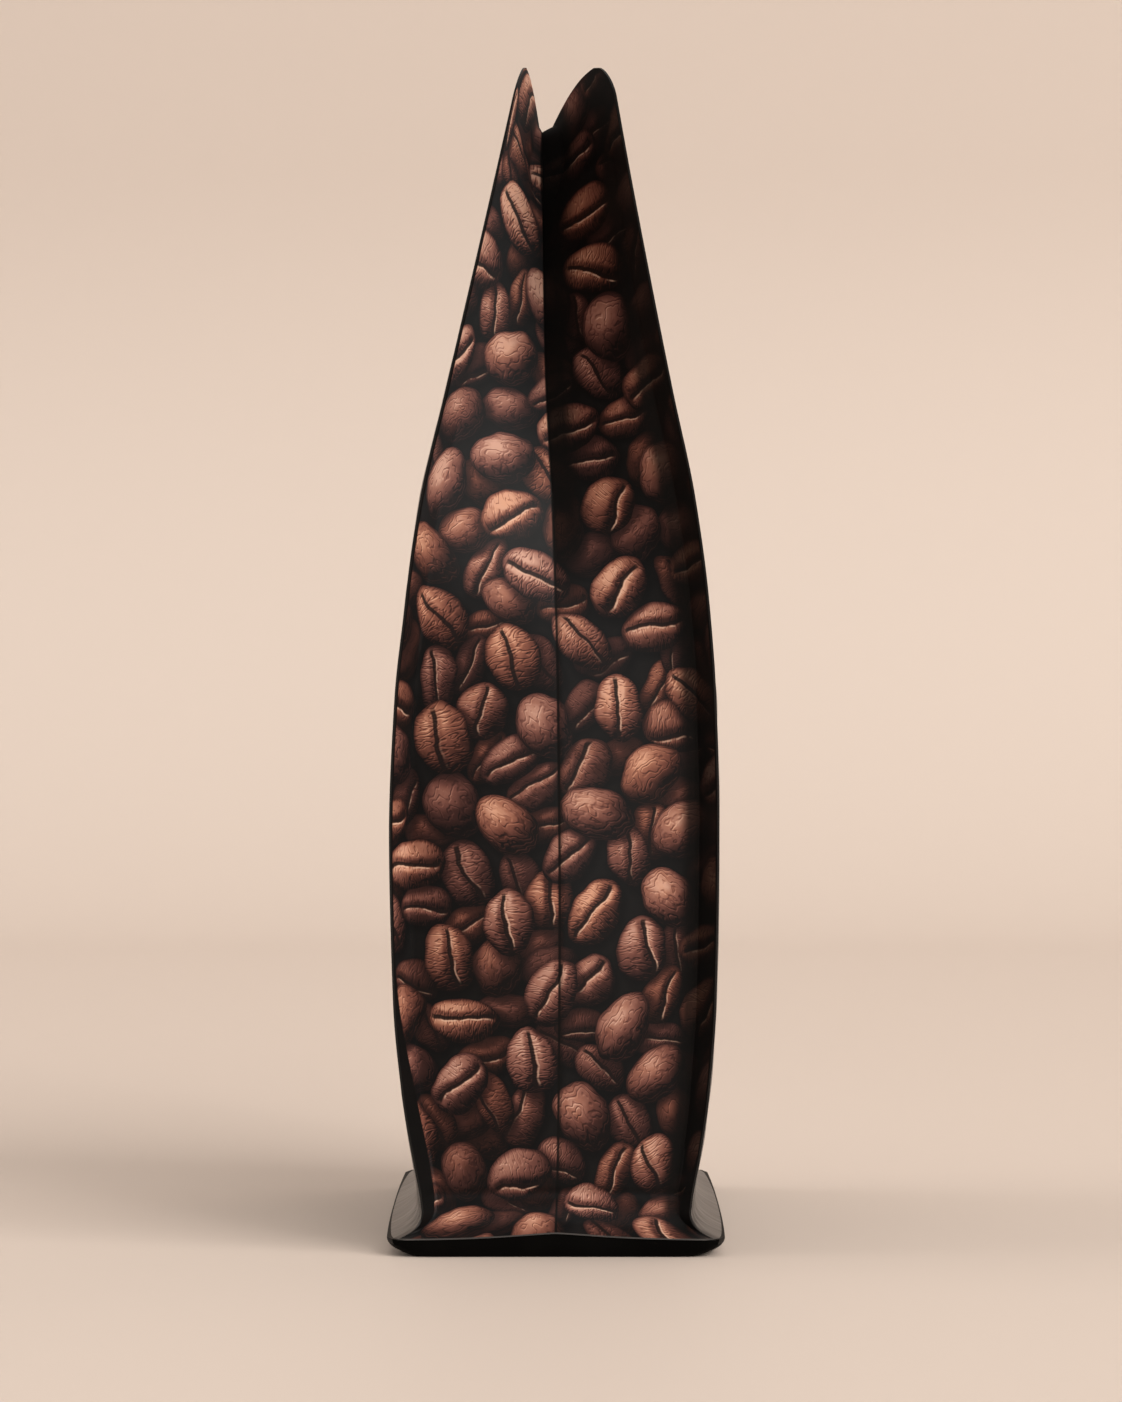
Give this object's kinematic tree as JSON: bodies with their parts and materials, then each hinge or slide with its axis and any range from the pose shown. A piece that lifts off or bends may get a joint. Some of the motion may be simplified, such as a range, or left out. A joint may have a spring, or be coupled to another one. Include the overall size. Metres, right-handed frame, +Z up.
{
  "type": "coffee bag",
  "caption": "Shut flat-bottom coffee bag with welded edge seals, a folded gusset at each end printed with coffee beans, plain black broad panels and a pinched top.",
  "frame": {"origin": "centre of the base, on the surface the bag rests on", "axes": "+Z up from the base to the pinched top; -Y and +Y out of the two folded gussets; -X and +X out of the two broad panels"},
  "size_m": [0.062, 0.12, 0.21],
  "materials": {
    "printed_film": "black film with a soft sheen, printed on the gussets with brown coffee beans"
  },
  "bodies": {
    "root": {"pouch": "printed_film"}
  },
  "joints": []
}
